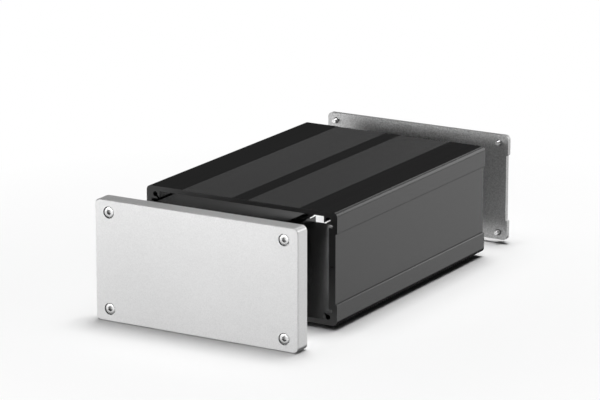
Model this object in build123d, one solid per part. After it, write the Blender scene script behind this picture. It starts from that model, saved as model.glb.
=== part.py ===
from build123d import *
import os

# Amplifier chassis: two like extrusions, one above the other, between a front plate and a rear plate.
# X runs across, Y from the front to the rear, Z up.
# The origin is at the middle of the base shell's underside.

# Shell extrusion, used for the base and, turned half round, for the cover
shell_width = 117.0
shell_half_height = 30.5
shell_length = 166.0
web_thickness = 2.6
wall_thickness = 4.0
band_step = 1.0
band_height = 11.5
band_edge_chamfer = 0.4
corner_radius = 2.5

# Tongue on one wall's edge and groove on the other's
tongue_width = 1.2
tongue_height = 1.2
tongue_chamfer = 0.45
groove_side_clearance = 0.15
groove_end_clearance = 0.3

# Fine ribs along the web's outer face, in two bands
rib_count = 19
rib_pitch = 1.65
rib_groove_width = 1.4
rib_groove_depth = 0.55
rib_band_gap = 9.6

# Screws: M3 socket head cap screws, each with a plain shank as thick as its thread's mean
screw_side_inset = 5.4
screw_end_inset = 4.3
shank_diameter = 2.6
front_screw_length = 10.0
rear_screw_length = 6.0
head_diameter = 5.7
head_height = 3.0
head_edge_chamfer = 0.3
tip_chamfer = 0.4
socket_across_flats = 2.5
socket_depth = 1.5

# Screw channels and guide slots in the shells
channel_clearance = 0.1
channel_slit_width = 1.1
channel_slit_angle = 45.0
boss_wall = 1.2
lip_thickness = 1.0
guide_slot_height = 1.8
guide_slot_depth = 2.1
guide_mouth_chamfer = 0.5

# Front plate
front_thickness = 9.0
front_side_overhang = 3.0
front_end_overhang = 2.5
front_corner_radius = 3.0
front_edge_chamfer = 0.4
screw_hole_diameter = 3.6
counterbore_diameter = 6.5
head_recess = 0.3

# Rear plate
rear_thickness = 3.0

# Gaps that the plates stand away from the shells' ends, as the set is laid out
front_gap = 36.0
rear_gap = 28.0

# Worked out from the sizes above
shell_height = 2 * shell_half_height
outer_face = shell_width / 2 - band_step
inner_face = outer_face - wall_thickness
tongue_x = outer_face - wall_thickness / 2
screw_x = shell_width / 2 - screw_side_inset
channel_diameter = shank_diameter + 2 * channel_clearance
boss_inner = screw_x - channel_diameter / 2 - boss_wall
boss_top = screw_end_inset + channel_diameter / 2 + lip_thickness
counterbore_depth = head_height + head_recess
front_end = -shell_length / 2
rear_end = shell_length / 2
front_plate_back = front_end - front_gap
front_plate_face = front_plate_back - front_thickness
rear_plate_front = rear_end + rear_gap
rear_plate_face = rear_plate_front + rear_thickness


def block(x_low, x_high, z_low, z_high):
    """A rectangle of the section between two widths and two heights."""
    size = Rectangle(x_high - x_low, z_high - z_low, align=(Align.MIN, Align.MIN))
    return Pos(x_low, z_low) * size


def along(section, start, end):
    """A section drawn in X and Z, run along Y from start to end."""
    plane = Plane((0, start, 0), x_dir=(1, 0, 0), z_dir=(0, -1, 0))
    return extrude(plane * section, amount=start - end)


def closed_outline():
    """The outer outline of the closed shells: a full-width band at the bottom and one at the top."""
    outline = block(-outer_face, outer_face, band_height, shell_height - band_height)
    for low, outer, inner in ((0, 0, -1), (shell_height - band_height, -1, 0)):
        band = block(-shell_width / 2, shell_width / 2, low, low + band_height)
        band = fillet(band.vertices().group_by(Axis.Y)[outer], corner_radius)
        outline += chamfer(band.vertices().group_by(Axis.Y)[inner], band_edge_chamfer)
    return outline


def rib_grooves():
    """The V grooves between the ribs of both bands, cut from the web's outer face."""
    grooves = Sketch()
    half = rib_groove_width / 2
    for side in (-1, 1):
        for index in range(rib_count):
            x = side * (rib_band_gap / 2 + rib_pitch * (index + 0.5))
            cut = Polygon((x - half, 0), (x + half, 0), (x, rib_groove_depth), align=None)
            grooves += cut
    return grooves


def corner_boss(side):
    """The boss in one inner corner, with its screw channel, slit and guide slot still to be cut."""
    x_low, x_high = sorted((side * boss_inner, side * inner_face))
    return block(x_low, x_high, web_thickness, boss_top)


def corner_cuts(side):
    """The screw channel, the slit that opens it and the guide slot above it, in one inner corner."""
    channel = Pos(side * screw_x, screw_end_inset) * Circle(channel_diameter / 2)
    reach = boss_wall + lip_thickness + channel_diameter
    bar = Rectangle(reach, channel_slit_width, align=(Align.MIN, Align.CENTER))
    slit = Pos(side * screw_x, screw_end_inset) * Rot(0, 0, 90 + side * channel_slit_angle) * bar
    slot_end = inner_face + guide_slot_depth
    slot_top = boss_top + guide_slot_height
    x_low, x_high = sorted((side * boss_inner, side * slot_end))
    slot = block(x_low, x_high, boss_top, slot_top)
    mouth = Polygon(
        (side * inner_face, slot_top),
        (side * (inner_face + guide_mouth_chamfer), slot_top),
        (side * inner_face, slot_top + guide_mouth_chamfer),
        align=None,
    )
    return channel + slit + slot + mouth


def tongue():
    """The tongue that stands on the right wall's edge."""
    x_low = tongue_x - tongue_width / 2
    edge = shell_half_height
    ridge = block(x_low, x_low + tongue_width, edge, edge + tongue_height)
    return chamfer(ridge.vertices().group_by(Axis.Y)[-1], tongue_chamfer)


def groove():
    """The groove in the left wall's edge that takes the other shell's tongue."""
    width = tongue_width + 2 * groove_side_clearance
    depth = tongue_height + groove_end_clearance
    x_low = -tongue_x - width / 2
    return block(x_low, x_low + width, shell_half_height - depth, shell_half_height)


def shell_section():
    """The extrusion's section, web down, with its tongue on the right and its groove on the left."""
    section = closed_outline() & block(-shell_width / 2, shell_width / 2, 0, shell_half_height)
    section -= block(-inner_face, inner_face, web_thickness, shell_half_height)
    for side in (-1, 1):
        section = section + corner_boss(side) - corner_cuts(side)
    return section + tongue() - groove() - rib_grooves()


def base_shell():
    """The lower extrusion, open side up."""
    return along(shell_section(), front_end, rear_end)


def cover_shell():
    """The same extrusion, turned half round about its length, seated on the base."""
    turned = base_shell().rotate(Axis.Y, 180)
    return Pos(0, 0, shell_height) * turned


def screw_places():
    """The four screw axes, as X and Z, by name."""
    high = shell_height - screw_end_inset
    return {
        "upper_left": (-screw_x, high),
        "upper_right": (screw_x, high),
        "lower_left": (-screw_x, screw_end_inset),
        "lower_right": (screw_x, screw_end_inset),
    }


def front_plate():
    """The thick front plate, larger than the shells all round, with counterbored screw holes."""
    width = shell_width + 2 * front_side_overhang
    height = shell_height + 2 * front_end_overhang
    outline = Pos(0, shell_half_height) * RectangleRounded(width, height, front_corner_radius)
    plate = along(outline, front_plate_face, front_plate_back)
    plate = chamfer(plate.faces().sort_by(Axis.Y)[0].outer_wire().edges(), front_edge_chamfer)
    for x, z in screw_places().values():
        hole = Pos(x, z) * Circle(screw_hole_diameter / 2)
        counterbore = Pos(x, z) * Circle(counterbore_diameter / 2)
        plate -= along(hole, front_plate_face, front_plate_back)
        plate -= along(counterbore, front_plate_face, front_plate_face + counterbore_depth)
    return plate


def rear_plate():
    """The thin rear plate, with the outline of the closed shells and plain screw holes."""
    outline = closed_outline()
    for x, z in screw_places().values():
        outline -= Pos(x, z) * Circle(screw_hole_diameter / 2)
    return along(outline, rear_plate_front, rear_plate_face)


def socket_screw(length):
    """A socket head cap screw along Y, its head's seat at Y = 0 and its tip towards +Y."""
    head = along(Circle(head_diameter / 2), -head_height, 0)
    head = chamfer(head.faces().sort_by(Axis.Y)[0].edges(), head_edge_chamfer)
    shank = along(Circle(shank_diameter / 2), 0, length)
    shank = chamfer(shank.faces().sort_by(Axis.Y)[-1].edges(), tip_chamfer)
    hexagon = RegularPolygon(socket_across_flats / 2, 6, major_radius=False)
    socket = along(hexagon, -head_height, -head_height + socket_depth)
    return head + shank - socket


def front_screw(place):
    """A long screw, seated in its counterbore in the front plate."""
    x, z = screw_places()[place]
    return Pos(x, front_plate_face + counterbore_depth, z) * socket_screw(front_screw_length)


def rear_screw(place):
    """A short screw, seated on the rear plate and pointing to the front."""
    x, z = screw_places()[place]
    return Pos(x, rear_plate_face, z) * Rot(0, 0, 180) * socket_screw(rear_screw_length)


def pieces():
    """Every piece of the chassis by its name."""
    made = {
        "base_shell": base_shell(),
        "cover_shell": cover_shell(),
        "front_plate": front_plate(),
        "rear_plate": rear_plate(),
    }
    for place in screw_places():
        made[f"front_screw_{place}"] = front_screw(place)
        made[f"rear_screw_{place}"] = rear_screw(place)
    return made


os.makedirs("parts", exist_ok=True)
for name, piece in pieces().items():
    export_step(piece, f"parts/{name}.step")
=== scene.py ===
"""Looks of an amplifier chassis: two black extruded shells between a silver front plate and a rear plate."""

import logging
import math
from dataclasses import dataclass
from enum import Enum
from typing import NamedTuple, Union

import bpy
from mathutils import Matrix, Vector

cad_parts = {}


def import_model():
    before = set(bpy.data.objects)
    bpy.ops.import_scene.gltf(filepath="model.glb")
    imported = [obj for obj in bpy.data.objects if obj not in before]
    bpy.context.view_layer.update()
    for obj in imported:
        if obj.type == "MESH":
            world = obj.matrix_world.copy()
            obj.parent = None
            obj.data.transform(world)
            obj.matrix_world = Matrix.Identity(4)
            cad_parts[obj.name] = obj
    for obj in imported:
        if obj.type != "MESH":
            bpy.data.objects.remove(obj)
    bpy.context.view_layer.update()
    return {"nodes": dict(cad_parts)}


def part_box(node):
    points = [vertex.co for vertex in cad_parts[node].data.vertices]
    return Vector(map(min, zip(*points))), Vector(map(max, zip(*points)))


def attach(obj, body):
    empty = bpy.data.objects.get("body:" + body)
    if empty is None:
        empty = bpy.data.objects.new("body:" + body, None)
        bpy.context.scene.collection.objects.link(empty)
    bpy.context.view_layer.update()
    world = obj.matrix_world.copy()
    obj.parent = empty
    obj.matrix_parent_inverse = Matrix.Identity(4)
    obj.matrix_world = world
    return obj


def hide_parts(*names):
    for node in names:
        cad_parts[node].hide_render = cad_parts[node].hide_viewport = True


LOG = logging.getLogger("amplifier_chassis")
MM = 0.001

# Numbers of a Mix node's inputs and output for colours
MIX_SHARE, MIX_FIRST, MIX_SECOND, MIX_RESULT = 0, 6, 7, 2

Number = Union[float, "Signal"]
Pair = tuple[float, float]
Triple = tuple[float, float, float]


class Signal:
    """One output of a node tree that takes part in Python expressions."""

    def __init__(self, graph: "Graph", socket: bpy.types.NodeSocket) -> None:
        """Wraps a socket.

        Args:
            graph: The graph that the socket belongs to.
            socket: An output socket of one of its nodes.
        """
        self.graph = graph
        self.socket = socket

    def __add__(self, other: Number) -> "Signal":
        """This plus another."""
        return self.graph.math("ADD", self, other)

    def __radd__(self, other: Number) -> "Signal":
        """Another plus this."""
        return self.graph.math("ADD", other, self)

    def __sub__(self, other: Number) -> "Signal":
        """This minus another."""
        return self.graph.math("SUBTRACT", self, other)

    def __rsub__(self, other: Number) -> "Signal":
        """Another minus this."""
        return self.graph.math("SUBTRACT", other, self)

    def __mul__(self, other: Number) -> "Signal":
        """This times another."""
        return self.graph.math("MULTIPLY", self, other)

    def __rmul__(self, other: Number) -> "Signal":
        """Another times this."""
        return self.graph.math("MULTIPLY", other, self)

    def __truediv__(self, other: Number) -> "Signal":
        """This divided by another."""
        return self.graph.math("DIVIDE", self, other)

    def __rtruediv__(self, other: Number) -> "Signal":
        """Another divided by this."""
        return self.graph.math("DIVIDE", other, self)

    def __abs__(self) -> "Signal":
        """Its size without its sign."""
        return self.graph.math("ABSOLUTE", self)

    def above(self, limit: Number) -> "Signal":
        """One where this is over a limit, and zero elsewhere."""
        return self.graph.math("GREATER_THAN", self, limit)

    def lowest(self, other: Number) -> "Signal":
        """The smaller of this and another."""
        return self.graph.math("MINIMUM", self, other)

    def highest(self, other: Number) -> "Signal":
        """The larger of this and another."""
        return self.graph.math("MAXIMUM", self, other)

    def fraction(self) -> "Signal":
        """Its part after the decimal point."""
        return self.graph.math("FRACT", self)

    def swing(self, amount: float) -> "Signal":
        """How far this is from one half, times an amount."""
        return (self - 0.5) * amount

    def between(self, low: float, high: float) -> "Signal":
        """Zero at low, one at high, and straight between.

        Args:
            low: Where the result is zero.
            high: Where the result is one.

        Returns:
            The clamped share.
        """
        share = (self - low) / (high - low)
        return share.highest(0.0).lowest(1.0)


class Graph:
    """A shader or geometry node tree with one method that adds any node."""

    def __init__(self, tree: bpy.types.NodeTree) -> None:
        """Wraps a node tree."""
        self.tree = tree

    def node(self, kind: str, settings: dict | None = None, inputs: dict | None = None) -> bpy.types.Node:
        """Adds a node.

        Args:
            kind: The node's type.
            settings: Its properties, set first.
            inputs: Values, signals or sockets by the input's name or index.

        Returns:
            The new node.
        """
        made = self.tree.nodes.new(kind)
        for name, value in (settings or {}).items():
            setattr(made, name, value)
        for name, value in (inputs or {}).items():
            socket = made.inputs[name]
            if isinstance(value, Signal):
                self.tree.links.new(value.socket, socket)
            elif isinstance(value, bpy.types.NodeSocket):
                self.tree.links.new(value, socket)
            else:
                socket.default_value = value
        return made

    def signal(self, kind: str, settings: dict | None = None, inputs: dict | None = None,
               output: Union[str, int] = 0) -> Signal:
        """Adds a node and wraps one of its outputs.

        Args:
            kind: The node's type.
            settings: Its properties.
            inputs: Its inputs' values or links.
            output: The output's name or index.

        Returns:
            The wrapped output.
        """
        return Signal(self, self.node(kind, settings, inputs).outputs[output])

    def math(self, operation: str, *values: Number) -> Signal:
        """Adds a Math node.

        Args:
            operation: The node's operation.
            *values: Its operands.

        Returns:
            The result.
        """
        return self.signal("ShaderNodeMath", {"operation": operation}, dict(enumerate(values)))

    def blend(self, share: Number, first: Number, second: Number) -> Signal:
        """Mixes two colours.

        Args:
            share: Zero for the first colour, one for the second.
            first: A linear grey level or another mix.
            second: A linear grey level or another mix.

        Returns:
            The mixed colour.
        """
        ends = [end if isinstance(end, Signal) else (end, end, end, 1.0) for end in (first, second)]
        return self.signal("ShaderNodeMix", {"data_type": "RGBA"},
                           {MIX_SHARE: share, MIX_FIRST: ends[0], MIX_SECOND: ends[1]}, MIX_RESULT)


@dataclass(frozen=True)
class Pattern:
    """A noise pattern: its cells to a metre along X, Y and Z, its finer layers and how strong they are."""

    cells: Triple
    layers: float = 2.0
    layer_strength: float = 0.5


class Surface(Graph):
    """A material's graph with a principled shader and patterns on Object coordinates."""

    def __init__(self, name: str) -> None:
        """Makes an empty material.

        Args:
            name: The material's name.
        """
        self.material = bpy.data.materials.new(name)
        self.material.use_nodes = True
        super().__init__(self.material.node_tree)
        self.tree.nodes.clear()
        self.shader = self.node("ShaderNodeBsdfPrincipled")
        self.node("ShaderNodeOutputMaterial", inputs={"Surface": self.shader.outputs["BSDF"]})
        self.place = self.signal("ShaderNodeTexCoord", output="Object")

    def parts(self) -> tuple[Signal, Signal, Signal]:
        """The surface point's X, Y and Z on the object, in metres."""
        split = self.node("ShaderNodeSeparateXYZ", inputs={0: self.place})
        return tuple(Signal(self, split.outputs[i]) for i in range(3))

    def noise(self, pattern: Pattern) -> Signal:
        """Adds a noise pattern around one half.

        Args:
            pattern: Its cells and layers.

        Returns:
            The pattern from zero to one.
        """
        scaled = self.signal("ShaderNodeMapping", inputs={"Vector": self.place, "Scale": pattern.cells})
        return self.signal("ShaderNodeTexNoise", {"noise_dimensions": "3D"}, {
            "Vector": scaled, "Scale": 1.0, "Detail": pattern.layers, "Roughness": pattern.layer_strength})

    def bump(self, height: Number, distance: float, strength: float) -> None:
        """Feeds a height pattern to the shader's normal.

        Args:
            height: The pattern.
            distance: The relief's depth in metres.
            strength: How much of it shows.
        """
        relief = {"Height": height, "Distance": distance, "Strength": strength}
        self.feed("Normal", self.signal("ShaderNodeBump", inputs=relief, output="Normal"))

    def feed(self, name: str, value: Number) -> None:
        """Links or sets one of the shader's sockets.

        Args:
            name: The socket's name.
            value: A signal or a plain value.
        """
        socket = self.shader.inputs[name]
        if isinstance(value, Signal):
            self.tree.links.new(value.socket, socket)
        else:
            socket.default_value = value


class Corner(Enum):
    """A screw's corner, seen from the front."""

    UPPER_LEFT = "upper_left"
    UPPER_RIGHT = "upper_right"
    LOWER_LEFT = "lower_left"
    LOWER_RIGHT = "lower_right"


class End(Enum):
    """The end of the chassis that a screw holds a plate to."""

    FRONT = "front"
    REAR = "rear"


def off_screw_axes(surface: Surface) -> Signal:
    """Measures how far a surface point is from the nearest screw's axis.

    The axes run along Y, one in each corner of the front plate.

    Args:
        surface: The material's graph.

    Returns:
        The distance in metres.
    """
    across, _, up = surface.parts()
    low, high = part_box("front_screw_upper_right")
    front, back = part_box("front_plate")
    middle = (front.z + back.z) / 2
    aside = abs(across) - (low.x + high.x) / 2
    aloft = abs(up - middle) - ((low.z + high.z) / 2 - middle)
    return surface.math("SQRT", aside * aside + aloft * aloft)


@dataclass(frozen=True)
class BlackAnodised:
    """The shells' satin black anodised extrusion, with die lines along its length and sawn ends.

    Here and in the other finishes tones are linear grey levels, and lengths are in metres.
    """

    name: str = "black_anodised_extrusion"
    dark: float = 0.007
    light: float = 0.011
    sawn: float = 0.012
    sawn_spread: float = 0.2
    contrast: Pair = (0.35, 0.65)
    roughness: float = 0.23
    specular_level: float = 0.65
    relief: float = 0.006 * MM
    relief_strength: float = 0.15
    half_length: float = 83.0 * MM
    end_skin: float = 0.05 * MM
    die_lines: Pattern = Pattern((900.0, 5.0, 900.0), layers=3.0)
    clouds: Pattern = Pattern((14.0, 9.0, 14.0))
    grain: Pattern = Pattern((5200.0, 5200.0, 5200.0), layers=1.0)
    saw_marks: Pattern = Pattern((60.0, 60.0, 3600.0))

    def material(self) -> bpy.types.Material:
        """Builds the material.

        Returns:
            The finished material.
        """
        surface = Surface(self.name)
        patterns = (self.die_lines, self.clouds, self.grain, self.saw_marks)
        lines, cloud, grain, saw = map(surface.noise, patterns)
        end = abs(surface.parts()[1]).above(self.half_length - self.end_skin)
        tone = lines * 0.30 + cloud * 0.30 + grain * 0.40
        body = surface.blend(tone.between(*self.contrast), self.dark, self.light)
        cut = surface.blend(saw, self.sawn * (1 - self.sawn_spread), self.sawn * (1 + self.sawn_spread))
        surface.feed("Base Color", surface.blend(end, body, cut))
        surface.feed("Roughness", self.roughness + lines.swing(0.05) + grain.swing(0.08) + end * 0.08)
        surface.feed("Metallic", 0.0)
        surface.feed("Specular IOR Level", self.specular_level)
        surface.bump(lines * 0.25 + grain * 0.75 + end * (saw - 0.5), self.relief, self.relief_strength)
        return surface.material


@dataclass(frozen=True)
class BlastedAluminium:
    """The front plate's pale, fine-blasted, clear-anodised aluminium, with turned holes: painted shade on
    their walls, painted light on their floors.
    """

    name: str = "blasted_silver_aluminium"
    pale: float = 0.95
    shade: float = 0.83
    # Painted light and shade in the holes: the counterbores' floors get the pale tone as painted light, and
    # the walls get the darker tone as painted shade.
    bore_floor_painted_light: float = 1.0
    bore_wall_painted_shade: float = 0.74
    contrast: Pair = (0.3, 0.7)
    roughness: float = 0.35
    turned_roughness: float = 0.32
    metallic: float = 0.85
    relief: float = 0.02 * MM
    relief_strength: float = 0.25
    hole_reach: float = 3.4 * MM
    skin: float = 0.05 * MM
    grain: Pattern = Pattern((1800.0, 1800.0, 1800.0))
    clouds: Pattern = Pattern((18.0, 18.0, 18.0), layers=3.0)
    turning_marks: Pattern = Pattern((200.0, 6000.0, 200.0))

    def holes(self, surface: Surface) -> tuple[Signal, Signal]:
        """Finds the plate's holes round the screws' axes.

        Args:
            surface: The material's graph.

        Returns:
            One inside the holes and one on the counterbores' floors, which get painted light, and zero
            elsewhere.
        """
        along = surface.parts()[1]
        front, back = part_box("front_plate")
        seat = SocketScrew(End.FRONT, Corner.UPPER_RIGHT).seat[1]
        near = 1.0 - off_screw_axes(surface).above(self.hole_reach)
        inside = near * along.above(front.y + self.skin) * (1.0 - along.above(back.y - self.skin))
        return inside, 1.0 - abs(along - seat).above(self.skin)

    def material(self) -> bpy.types.Material:
        """Builds the material.

        Returns:
            The finished material.
        """
        surface = Surface(self.name)
        grain, cloud, marks = map(surface.noise, (self.grain, self.clouds, self.turning_marks))
        hole, floor = self.holes(surface)
        tone = grain * 0.7 + cloud * 0.3
        blasted = surface.blend(tone.between(*self.contrast), self.shade, self.pale)
        # Painted light on the counterbores' floors and painted shade on their walls, with turning marks over
        # both.
        bore_marks_and_painted_light_share = marks.between(*self.contrast) * 0.3 + floor * 0.7
        turned = surface.blend(bore_marks_and_painted_light_share, self.bore_wall_painted_shade, self.bore_floor_painted_light)
        surface.feed("Base Color", surface.blend(hole, blasted, turned))
        surface.feed("Roughness", self.roughness + grain.swing(0.12) + cloud.swing(0.05)
                     + hole * (self.turned_roughness - self.roughness))
        surface.feed("Metallic", self.metallic)
        surface.bump(grain + hole * (marks - grain), self.relief, self.relief_strength)
        return surface.material


@dataclass(frozen=True)
class GrainedAluminiumInPaintedShade:
    """The rear plate's aluminium sheet with a visible grain, in a mid-grey that is painted shade for the
    shade it sits in.
    """

    name: str = "grained_aluminium_painted_shade_grey"
    # Painted shade: these greys are darker than the front plate's, for the shade that the rear plate sits in.
    pale: float = 0.75
    shade: float = 0.40
    contrast: Pair = (0.3, 0.7)
    roughness: float = 0.38
    metallic: float = 0.8
    relief: float = 0.03 * MM
    relief_strength: float = 0.4
    grain: Pattern = Pattern((1300.0, 1300.0, 1300.0), layers=3.0, layer_strength=0.6)
    clouds: Pattern = Pattern((22.0, 22.0, 22.0))

    def material(self) -> bpy.types.Material:
        """Builds the material.

        Returns:
            The finished material.
        """
        surface = Surface(self.name)
        grain, cloud = map(surface.noise, (self.grain, self.clouds))
        tone = grain * 0.8 + cloud * 0.2
        surface.feed("Base Color", surface.blend(tone.between(*self.contrast), self.shade, self.pale))
        surface.feed("Roughness", self.roughness + grain.swing(0.25))
        surface.feed("Metallic", self.metallic)
        surface.bump(grain, self.relief, self.relief_strength)
        return surface.material


@dataclass(frozen=True)
class BrightSteel:
    """The screws' bright steel, with fine turning marks round each axis and painted shade on the socket
    walls.
    """

    name: str = "bright_screw_steel"
    pale: float = 0.96
    shade: float = 0.90
    # Painted shade: the socket walls get this dark grey, which stands for the shade inside the hex sockets.
    socket_wall_painted_shade: float = 0.30
    socket_wall_painted_shade_spread: float = 0.3
    contrast: Pair = (0.3, 0.7)
    roughness: float = 0.27
    relief: float = 0.006 * MM
    relief_strength: float = 0.3
    skin: float = 0.02 * MM
    floor_skin: float = 0.1 * MM
    turning_marks: Pattern = Pattern((300.0, 7000.0, 300.0))
    spots: Pattern = Pattern((1600.0, 1600.0, 1600.0))

    def socket_walls(self, surface: Surface) -> Signal:
        """Finds the walls of the screws' sockets, which open on the part's two ends.

        Args:
            surface: The material's graph.

        Returns:
            One on the walls, where painted shade goes, and zero elsewhere.
        """
        screw = SocketScrew(End.FRONT, Corner.UPPER_RIGHT)
        front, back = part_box(screw.node)[0].y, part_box("rear_screw_upper_right")[1].y
        depth = (back - front) / 2 - abs(surface.parts()[1] - (front + back) / 2)
        radius = off_screw_axes(surface)
        ring = (radius.above(screw.socket_inradius * MM - self.skin)
                * (1.0 - radius.above(screw.socket_corner_radius * MM + self.skin)))
        return ring * depth.above(self.skin) * (1.0 - depth.above(screw.socket_depth * MM + self.floor_skin))

    def material(self) -> bpy.types.Material:
        """Builds the material.

        Returns:
            The finished material.
        """
        surface = Surface(self.name)
        turned, spots = map(surface.noise, (self.turning_marks, self.spots))
        tone = spots.between(*self.contrast)
        bright = surface.blend(tone, self.shade, self.pale)
        # Painted shade inside the sockets: the walls get a dark grey in place of the bright steel.
        painted_shade_socket_tone = surface.blend(tone, self.socket_wall_painted_shade * (1 - self.socket_wall_painted_shade_spread),
                             self.socket_wall_painted_shade * (1 + self.socket_wall_painted_shade_spread))
        surface.feed("Base Color", surface.blend(self.socket_walls(surface), bright, painted_shade_socket_tone))
        surface.feed("Roughness", self.roughness + turned.swing(0.12) + spots.swing(0.08))
        surface.feed("Metallic", 1.0)
        surface.bump(turned, self.relief, self.relief_strength)
        return surface.material


class ThreadTree:
    """The geometry node tree that raises a thread on a plain screw blank and puts it in its place."""

    INPUTS = (
        ("Pitch", "NodeSocketFloat"),
        ("Depth", "NodeSocketFloat"),
        ("Start", "NodeSocketFloat"),
        ("Finish", "NodeSocketFloat"),
        ("Place", "NodeSocketVector"),
        ("Turn", "NodeSocketRotation"),
        ("Material", "NodeSocketMaterial"),
    )
    # Shares of half a turn at which the thread's flank starts and ends
    FLANK = (0.1, 0.9)
    # Points closer than this become one, in metres
    MERGE_DISTANCE = 0.0005 * MM

    def __init__(self) -> None:
        """Builds the tree once for all screws."""
        self.tree = bpy.data.node_groups.new("screw_thread", "GeometryNodeTree")
        face = self.tree.interface
        face.new_socket("Geometry", in_out="INPUT", socket_type="NodeSocketGeometry")
        for name, kind in self.INPUTS:
            face.new_socket(name, in_out="INPUT", socket_type=kind)
        face.new_socket("Geometry", in_out="OUTPUT", socket_type="NodeSocketGeometry")
        self._build(Graph(self.tree))

    def _build(self, graph: Graph) -> None:
        """Adds and links the nodes.

        Args:
            graph: The empty tree's graph.
        """
        given = graph.node("NodeGroupInput").outputs
        values = {name: Signal(graph, given[name]) for name, _ in self.INPUTS}
        point = graph.node("ShaderNodeSeparateXYZ", inputs={0: graph.signal("GeometryNodeInputPosition")})
        across, along, up = (Signal(graph, point.outputs[i]) for i in range(3))
        turns = along / values["Pitch"] - graph.math("ARCTAN2", up, across) / math.tau
        slope = (1.0 - abs(turns.fraction() * 2.0 - 1.0)).between(*self.FLANK)
        lead = ((along - values["Start"]) / values["Pitch"]).highest(0.0).lowest(1.0)
        run_out = ((values["Finish"] - along) / values["Pitch"]).highest(0.0).lowest(1.0)
        rise = slope * lead * run_out * values["Depth"]
        outward = graph.signal("ShaderNodeCombineXYZ", inputs={"X": across, "Z": up})
        outward = graph.signal("ShaderNodeVectorMath", {"operation": "NORMALIZE"}, {0: outward})
        offset = graph.signal("ShaderNodeVectorMath", {"operation": "SCALE"}, {0: outward, "Scale": rise})
        shape = Signal(graph, given["Geometry"])
        for kind, inputs in (
            ("GeometryNodeSetPosition", {"Offset": offset}),
            ("GeometryNodeMergeByDistance", {"Distance": self.MERGE_DISTANCE}),
            ("GeometryNodeTransform", {"Translation": values["Place"], "Rotation": values["Turn"]}),
            ("GeometryNodeRealizeInstances", {}),
            ("GeometryNodeSetMaterial", {"Material": values["Material"]}),
            ("NodeGroupOutput", {}),
        ):
            made = graph.node(kind, inputs={"Geometry": shape, **inputs})
            if made.outputs:
                shape = Signal(graph, made.outputs[0])

    def apply(self, blank: bpy.types.Object, **values: object) -> bpy.types.Object:
        """Turns a blank into a finished plain mesh object.

        Args:
            blank: The object with the plain screw's mesh.
            **values: The tree's inputs by their names in INPUTS.

        Returns:
            A new object, at the origin, with its place in its mesh.
        """
        modifier = blank.modifiers.new("thread", "NODES")
        modifier.node_group = self.tree
        identifiers = {item.name: item.identifier for item in self.tree.interface.items_tree
                       if item.in_out == "INPUT"}
        for name, value in values.items():
            modifier[identifiers[name]] = value
        return bake(blank)


def bake(source: bpy.types.Object) -> bpy.types.Object:
    """Makes a plain mesh object of an object with modifiers, and removes that one.

    Args:
        source: The object whose evaluated mesh is kept.

    Returns:
        The plain object, with the same name.
    """
    name = source.name
    bpy.context.view_layer.update()
    mesh = bpy.data.meshes.new_from_object(source.evaluated_get(bpy.context.evaluated_depsgraph_get()))
    source.modifiers.clear()
    blank = source.data
    bpy.data.objects.remove(source)
    bpy.data.meshes.remove(blank)
    mesh.name = name
    made = bpy.data.objects.new(name, mesh)
    bpy.context.scene.collection.objects.link(made)
    return made


class Ring(NamedTuple):
    """One ring of points of a screw's blank.

    Its reach is a radius in millimetres or, where it is six-sided, a share of the socket's size.
    """

    reach: float
    along: float
    six_sided: bool = False


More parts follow.
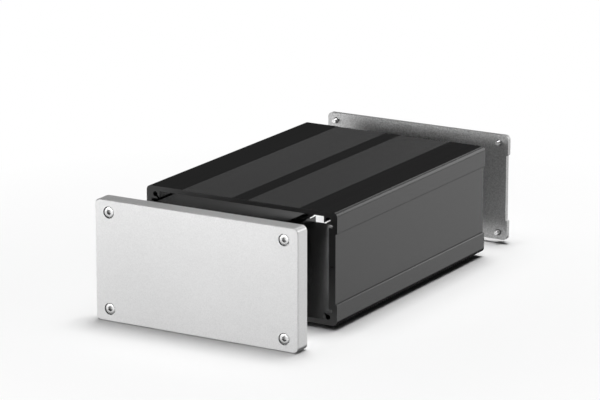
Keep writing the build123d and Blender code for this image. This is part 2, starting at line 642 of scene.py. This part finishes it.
@dataclass
class SocketScrew:
    """One M3 socket head cap screw, at the place and with the length that the frame gives it.

    Its sizes are in millimetres. Along its axis zero is the head's seat, and the tip is on the positive side.
    """

    end: End
    corner: Corner
    head_height: float = 3.0
    head_round: float = 0.3
    seat_round: float = 0.12
    round_steps: int = 4
    socket_flats: float = 2.5
    socket_depth: float = 1.5
    socket_cone: float = 0.05
    socket_floor_edge: float = 0.02
    mouth_bevel: float = 0.05
    mouth_share: float = 1.04
    root_radius: float = 1.27
    crest_radius: float = 1.355
    pitch: float = 0.5
    fillet_width: float = 0.2
    fillet_length: float = 0.12
    neck: float = 0.3
    run_out: float = 0.1
    tip_chamfer: float = 0.3
    tip_slope: float = 0.5
    sides: int = 36
    steps_to_a_turn: int = 10
    sharp_angle: float = 35.0

    @property
    def node(self) -> str:
        """The frame's name for this screw."""
        return f"{self.end.value}_screw_{self.corner.value}"

    @property
    def head_radius(self) -> float:
        """The head's radius in millimetres."""
        low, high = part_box(self.node)
        return (high.x - low.x) / 2 / MM

    @property
    def length(self) -> float:
        """The shank's length in millimetres, from the head's seat to the tip."""
        low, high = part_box(self.node)
        return (high.y - low.y) / MM - self.head_height

    @property
    def socket_inradius(self) -> float:
        """The distance from the axis to the middle of the socket's flats, in millimetres."""
        return self.socket_flats / 2

    @property
    def socket_corner_radius(self) -> float:
        """The distance from the axis to the socket's corners, in millimetres."""
        return self.socket_flats / math.sqrt(3)

    @property
    def seat(self) -> Triple:
        """Finds the middle of the head's seat.

        Returns:
            Its X, Y and Z in metres.
        """
        low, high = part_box(self.node)
        height = self.head_height * MM
        along = low.y + height if self.end is End.FRONT else high.y - height
        return ((low.x + high.x) / 2, along, (low.z + high.z) / 2)

    def _flat(self, angle: float) -> float:
        """The socket wall's distance from the axis at an angle, in millimetres."""
        sector = math.pi / 3
        return self.socket_inradius / math.cos((angle + sector / 2) % sector - sector / 2)

    def _rings(self) -> list[Ring]:
        """Lists the blank's rings from the socket's floor round the head and along the shank to the tip.

        Returns:
            The rings in order.
        """
        face = -self.head_height
        floor = face + self.socket_depth
        rings = [Ring(0.0, floor + self.socket_cone), Ring(1.0, floor, True),
                 Ring(1.0, floor - self.socket_floor_edge, True), Ring(1.0, face + self.mouth_bevel, True),
                 Ring(self.mouth_share, face, True)]
        for step in range(self.round_steps + 1):
            angle = math.pi / 2 * step / self.round_steps
            rings.append(Ring(self.head_radius - self.head_round * (1 - math.sin(angle)),
                              face + self.head_round * (1 - math.cos(angle))))
        rings.append(Ring(self.head_radius, -self.seat_round))
        rings.append(Ring(self.head_radius - self.seat_round, 0.0))
        rings.append(Ring(self.root_radius + self.fillet_width, 0.0))
        rings.append(Ring(self.root_radius, self.fillet_length))
        end = self.length - self.tip_chamfer
        count = round((end - self.neck) / self.pitch * self.steps_to_a_turn)
        for step in range(count + 1):
            rings.append(Ring(self.root_radius, self.neck + (end - self.neck) * step / count))
        rings.append(Ring(self.root_radius - self.tip_chamfer * self.tip_slope, self.length))
        rings.append(Ring(0.0, self.length))
        return rings

    def _blank(self) -> bpy.types.Object:
        """Builds the plain screw along Y, with its head's seat at the origin.

        Returns:
            The object, in metres.
        """
        rings = self._rings()
        points, faces = [], []
        for ring in rings:
            for side in range(self.sides):
                angle = math.tau * side / self.sides
                radius = ring.reach * self._flat(angle) if ring.six_sided else ring.reach
                points.append((radius * math.cos(angle) * MM, ring.along * MM, radius * math.sin(angle) * MM))
        for row in range(len(rings) - 1):
            for side in range(self.sides):
                low, high = row * self.sides, (row + 1) * self.sides
                following = (side + 1) % self.sides
                faces.append((low + side, high + side, high + following, low + following))
        mesh = bpy.data.meshes.new(self.node + "_blank")
        mesh.from_pydata(points, [], faces)
        made = bpy.data.objects.new(self.node + "_threaded", mesh)
        bpy.context.scene.collection.objects.link(made)
        return made

    def build(self, tree: ThreadTree, material: bpy.types.Material) -> bpy.types.Object:
        """Builds the threaded screw in its place.

        Args:
            tree: The thread's node tree.
            material: The screw's finish.

        Returns:
            The finished piece, riding on its body.
        """
        turn = (0.0, 0.0, 0.0) if self.end is End.FRONT else (0.0, 0.0, math.pi)
        depth = self.crest_radius - self.root_radius
        made = tree.apply(
            self._blank(), Pitch=self.pitch * MM, Depth=depth * MM, Start=self.neck * MM,
            Finish=(self.length - self.run_out) * MM, Place=self.seat, Turn=turn, Material=material)
        smooth_by_angle(made.data, math.radians(self.sharp_angle))
        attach(made, self.node)
        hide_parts(self.node)
        return made


def smooth_by_angle(mesh: bpy.types.Mesh, limit: float) -> None:
    """Shades a mesh smoothly except across edges sharper than a limit.

    Args:
        mesh: The mesh to shade.
        limit: The angle between two faces, in radians, past which their edge stays sharp.
    """
    mesh.polygons.foreach_set("use_smooth", [True] * len(mesh.polygons))
    mesh.set_sharp_from_angle(angle=limit)
    mesh.update()


@dataclass
class Screws:
    """The eight screws, four to a plate."""

    ends: tuple[End, ...] = tuple(End)
    corners: tuple[Corner, ...] = tuple(Corner)

    def build(self, material: bpy.types.Material) -> None:
        """Builds all screws.

        Args:
            material: Their finish.
        """
        tree = ThreadTree()
        for end in self.ends:
            for corner in self.corners:
                made = SocketScrew(end, corner).build(tree, material)
                LOG.info("%s: %d faces", made.name, len(made.data.polygons))


@dataclass
class Shells:
    """The two extruded shells, which keep the frame's own shapes."""

    names: tuple[str, ...] = ("base_shell", "cover_shell")

    def dress(self, nodes: dict[str, bpy.types.Object], material: bpy.types.Material) -> None:
        """Gives both shells their finish.

        Args:
            nodes: The frame's nodes by name.
            material: The finish.
        """
        for name in self.names:
            dress_node(nodes[name], material)


@dataclass
class Plates:
    """The front and rear plates, which keep the frame's own shapes."""

    front: str = "front_plate"
    rear: str = "rear_plate"

    def dress(self, nodes: dict[str, bpy.types.Object], front: bpy.types.Material,
              rear: bpy.types.Material) -> None:
        """Gives each plate its finish.

        Args:
            nodes: The frame's nodes by name.
            front: The front plate's finish.
            rear: The rear plate's finish.
        """
        dress_node(nodes[self.front], front)
        dress_node(nodes[self.rear], rear)


def dress_node(piece: bpy.types.Object, material: bpy.types.Material) -> None:
    """Gives a frame node one material.

    Args:
        piece: The node's object.
        material: Its finish.
    """
    piece.data.materials.clear()
    piece.data.materials.append(material)
    LOG.info("%s: dressed in %s", piece.name, material.name)


@dataclass(frozen=True)
class Softbox:
    """A soft rectangular lamp that faces the object, with its sizes in metres and its power in watts."""

    name: str
    place: Triple
    width: float
    height: float
    power: float
    aim: Triple = (0.0, 0.0, 0.03)
    in_gloss_only: bool = False

    def build(self) -> None:
        """Adds the lamp to the scene."""
        data = bpy.data.lights.new(self.name, "AREA")
        data.shape = "RECTANGLE"
        data.size, data.size_y, data.energy = self.width, self.height, self.power
        lamp = bpy.data.objects.new(self.name, data)
        lamp.visible_diffuse = not self.in_gloss_only
        lamp.location = self.place
        lamp.rotation_mode = "QUATERNION"
        lamp.rotation_quaternion = (Vector(self.aim) - Vector(self.place)).to_track_quat("-Z", "Y")
        bpy.context.scene.collection.objects.link(lamp)
        LOG.info("%s: %.1f W", self.name, self.power)


@dataclass
class Studio:
    """The floor, lamps, world and camera.

    Lengths are in metres, but the lens and the sensor are in millimetres. The glow's edges and the camera's
    angles are in degrees. The floor lies at the front plate's lowest edge.
    """

    floor_reach: float = 6.0
    floor_level: float = -2.5 * MM
    floor_pale: float = 0.9
    plain_from: float = 0.13
    plain_to: float = 0.31
    fill: float = 0.02
    sheen: float = 0.03
    glow: float = 1.15
    glow_bottom: Pair = (-23.0, -14.0)
    glow_top: Pair = (-9.0, -1.0)
    camera_place: Triple = (894.5 * MM, -1546.5 * MM, 514.7 * MM)
    camera_azimuth: float = 30.39
    camera_elevation: float = 14.84
    lens: float = 203.0
    sensor: float = 36.0
    clip: Pair = (0.05, 50.0)
    lamps: tuple[Softbox, ...] = (
        Softbox("overhead_softbox", (0.0, 0.18, 1.5), 0.5, 0.5, 13.5),
        Softbox("wide_softbox", (0.0, 0.10, 1.6), 1.5, 1.5, 15.5),
        Softbox("right_rear_softbox", (0.60, 1.31, 0.40), 0.70, 0.76, 3.2, in_gloss_only=True),
        Softbox("high_rear_softbox", (0.09, 1.27, 0.85), 1.0, 0.55, 0.68, in_gloss_only=True),
        Softbox("upper_rear_softbox", (-0.13, 1.26, 0.83), 0.30, 0.30, 0.22, in_gloss_only=True),
        Softbox("left_front_softbox", (-0.9, -1.7, 0.3), 1.4, 0.5, 14.5, in_gloss_only=True),
        Softbox("right_front_softbox", (0.75, -1.3, 0.7), 1.0, 0.8, 3.0, in_gloss_only=True),
    )

    def build(self) -> None:
        """Builds the whole studio."""
        self._floor()
        self._world()
        for lamp in self.lamps:
            lamp.build()
        self._camera()

    def _floor(self) -> None:
        """Adds a pale floor that keeps the shadows near the object and turns plain white further out."""
        reach, level = self.floor_reach, self.floor_level
        mesh = bpy.data.meshes.new("studio_floor")
        mesh.from_pydata([(x * reach, y * reach, level) for x, y in ((-1, -1), (1, -1), (1, 1), (-1, 1))],
                         [], [(0, 1, 2, 3)])
        floor = bpy.data.objects.new("studio_floor", mesh)
        bpy.context.scene.collection.objects.link(floor)
        material = bpy.data.materials.new("studio_floor")
        material.use_nodes = True
        graph = Graph(material.node_tree)
        graph.tree.nodes.clear()
        place = graph.signal("ShaderNodeTexCoord", output="Object")
        distance = graph.signal("ShaderNodeVectorMath", {"operation": "LENGTH"}, {0: place}, "Value")
        ray = graph.node("ShaderNodeLightPath").outputs
        share = Signal(graph, ray["Is Camera Ray"]) * distance.between(self.plain_from, self.plain_to)
        matt = graph.signal("ShaderNodeBsdfDiffuse", inputs={"Color": (*(self.floor_pale,) * 3, 1.0)})
        plain = graph.signal("ShaderNodeEmission", inputs={"Color": (1.0, 1.0, 1.0, 1.0), "Strength": 1.0})
        mixed = graph.signal("ShaderNodeMixShader", inputs={0: share, 1: matt, 2: plain})
        graph.node("ShaderNodeOutputMaterial", inputs={"Surface": mixed})
        mesh.materials.append(material)
        floor.visible_glossy = False

    def _world(self) -> None:
        """Adds a world that is white to the camera and dim to other rays, with a pale band in reflections."""
        world = bpy.data.worlds.new("studio_world")
        world.use_nodes = True
        world.cycles.sampling_method = "NONE"
        graph = Graph(world.node_tree)
        graph.tree.nodes.clear()
        ray = graph.node("ShaderNodeLightPath").outputs
        camera, glossy = Signal(graph, ray["Is Camera Ray"]), Signal(graph, ray["Is Glossy Ray"])
        ahead = graph.signal("ShaderNodeTexCoord", output="Generated")
        rise = graph.signal("ShaderNodeSeparateXYZ", inputs={0: ahead}, output="Z")
        low, high = (tuple(math.sin(math.radians(angle)) for angle in edge)
                     for edge in (self.glow_bottom, self.glow_top))
        band = rise.between(*low) * (1.0 - rise.between(*high))
        mirrored = glossy * (1.0 - Signal(graph, ray["Diffuse Depth"]).above(0.5))
        dim = mirrored * (band * (self.glow - self.sheen) + self.sheen) + (1.0 - mirrored) * self.fill
        strength = camera + (1.0 - camera) * dim
        sky = {"Color": (1.0, 1.0, 1.0, 1.0), "Strength": strength}
        background = graph.signal("ShaderNodeBackground", inputs=sky)
        graph.node("ShaderNodeOutputWorld", inputs={"Surface": background})
        bpy.context.scene.world = world

    def _camera(self) -> None:
        """Adds the camera at the photograph's viewing angle."""
        data = bpy.data.cameras.new("studio_camera")
        data.lens, data.sensor_width, data.sensor_fit = self.lens, self.sensor, "HORIZONTAL"
        data.clip_start, data.clip_end = self.clip
        camera = bpy.data.objects.new("studio_camera", data)
        azimuth, elevation = math.radians(self.camera_azimuth), math.radians(self.camera_elevation)
        ahead = Vector((-math.sin(azimuth) * math.cos(elevation), math.cos(azimuth) * math.cos(elevation),
                        -math.sin(elevation)))
        camera.rotation_mode = "QUATERNION"
        camera.rotation_quaternion = ahead.to_track_quat("-Z", "Y")
        camera.location = self.camera_place
        bpy.context.scene.collection.objects.link(camera)
        bpy.context.scene.camera = camera


def corners(box: tuple[Vector, Vector]) -> list[list[float]]:
    """A box's two corners as plain lists of numbers."""
    return [list(map(float, corner)) for corner in box]


def main() -> None:
    """Dresses the frame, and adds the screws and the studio."""
    logging.basicConfig(level=logging.INFO, format="%(name)s: %(message)s")
    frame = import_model()
    nodes = frame["nodes"]
    Shells().dress(nodes, BlackAnodised().material())
    Plates().dress(nodes, BlastedAluminium().material(), GrainedAluminiumInPaintedShade().material())
    Screws().build(BrightSteel().material())
    Studio().build()
    bpy.context.scene.view_settings.view_transform = "Standard"


if __name__ == "__main__":
    main()
